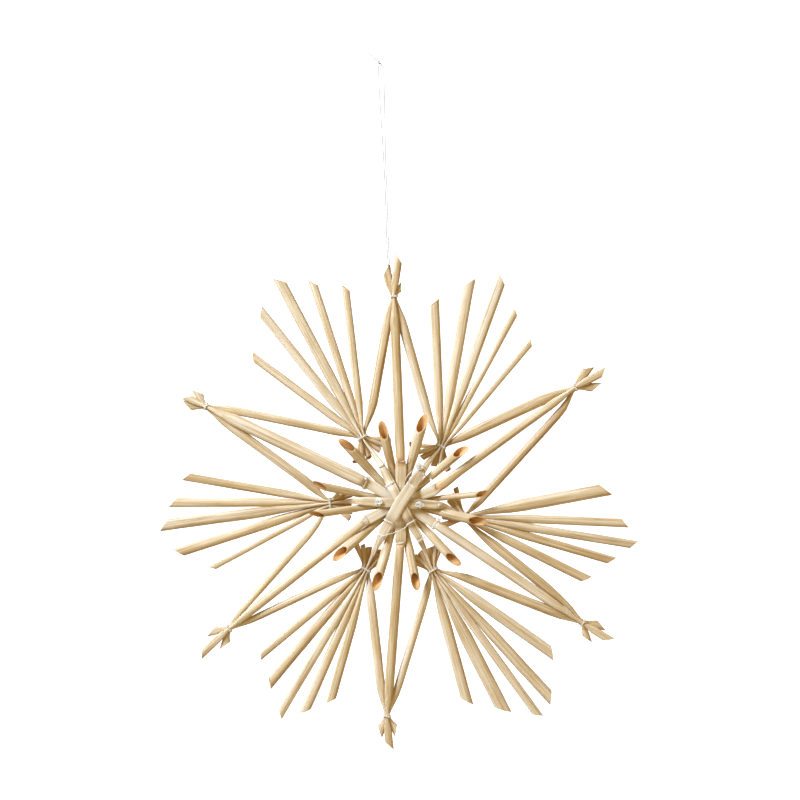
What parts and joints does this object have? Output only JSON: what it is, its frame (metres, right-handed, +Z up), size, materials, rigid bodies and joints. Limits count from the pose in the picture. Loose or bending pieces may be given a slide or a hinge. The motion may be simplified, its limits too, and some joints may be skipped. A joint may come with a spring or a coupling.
{
  "type": "straw star ornament",
  "caption": "Flat hanging star tied from hollow straws: slim points, fans of loose slant-cut straws between them, short open tubes round a woven centre, and a thread loop at the top.",
  "frame": {"origin": "the knot at the top of the hanging loop, where a hook or pin carries the loop", "axes": "+Z up, +X to the viewer's right, -Y towards the viewer: the star hangs in the XZ plane"},
  "size_m": [0.2399, 0.0138, 0.3486],
  "materials": {
    "tan_straw": "dry cereal straw with a soft sheen",
    "pale_straw": "dry cereal straw pressed flat, with fine fibre lines",
    "cotton_thread": "matt twisted off-white thread"
  },
  "bodies": {
    "root": {"centre_binding": "cotton_thread", "fan_left_straw_1": "tan_straw", "fan_left_straw_2": "tan_straw", "fan_left_straw_4": "tan_straw", "fan_left_straw_5": "tan_straw", "fan_lower_left_straw_1": "tan_straw", "fan_lower_left_straw_2": "tan_straw", "fan_lower_left_straw_4": "tan_straw", "fan_lower_left_straw_5": "tan_straw", "fan_lower_right_straw_1": "tan_straw", "fan_lower_right_straw_2": "tan_straw", "fan_lower_right_straw_4": "tan_straw", "fan_lower_right_straw_5": "tan_straw", "fan_right_straw_1": "tan_straw", "fan_right_straw_2": "tan_straw", "fan_right_straw_4": "tan_straw", "fan_right_straw_5": "tan_straw", "fan_upper_left_straw_1": "tan_straw", "fan_upper_left_straw_2": "tan_straw", "fan_upper_left_straw_4": "tan_straw", "fan_upper_left_straw_5": "tan_straw", "fan_upper_right_straw_1": "tan_straw", "fan_upper_right_straw_2": "tan_straw", "fan_upper_right_straw_4": "tan_straw", "fan_upper_right_straw_5": "tan_straw", "hanging_knot": "cotton_thread", "hanging_strand_left": "cotton_thread", "hanging_strand_right": "cotton_thread", "ray_left_high_to_right_low": "tan_straw", "ray_right_high_to_left_low": "tan_straw", "ray_top_to_bottom": "tan_straw", "short_tubes": "tan_straw", "side_straw_left_to_left_high": "tan_straw", "side_straw_left_to_left_low": "tan_straw", "side_straw_lower_left_to_bottom": "tan_straw", "side_straw_lower_left_to_left_low": "tan_straw", "side_straw_lower_right_to_bottom": "tan_straw", "side_straw_lower_right_to_right_low": "tan_straw", "side_straw_right_to_right_high": "tan_straw", "side_straw_right_to_right_low": "tan_straw", "side_straw_upper_left_to_left_high": "tan_straw", "side_straw_upper_left_to_top": "tan_straw", "side_straw_upper_right_to_right_high": "tan_straw", "side_straw_upper_right_to_top": "tan_straw", "strip_right_to_left": "pale_straw", "strip_upper_left_to_lower_right": "pale_straw", "strip_upper_right_to_lower_left": "pale_straw", "tie_fan_left": "cotton_thread", "tie_fan_lower_left": "cotton_thread", "tie_fan_lower_right": "cotton_thread", "tie_fan_right": "cotton_thread", "tie_fan_upper_left": "cotton_thread", "tie_fan_upper_right": "cotton_thread", "tie_point_bottom": "cotton_thread", "tie_point_left_high": "cotton_thread", "tie_point_left_low": "cotton_thread", "tie_point_right_high": "cotton_thread", "tie_point_right_low": "cotton_thread", "tie_point_top": "cotton_thread"}
  },
  "joints": []
}
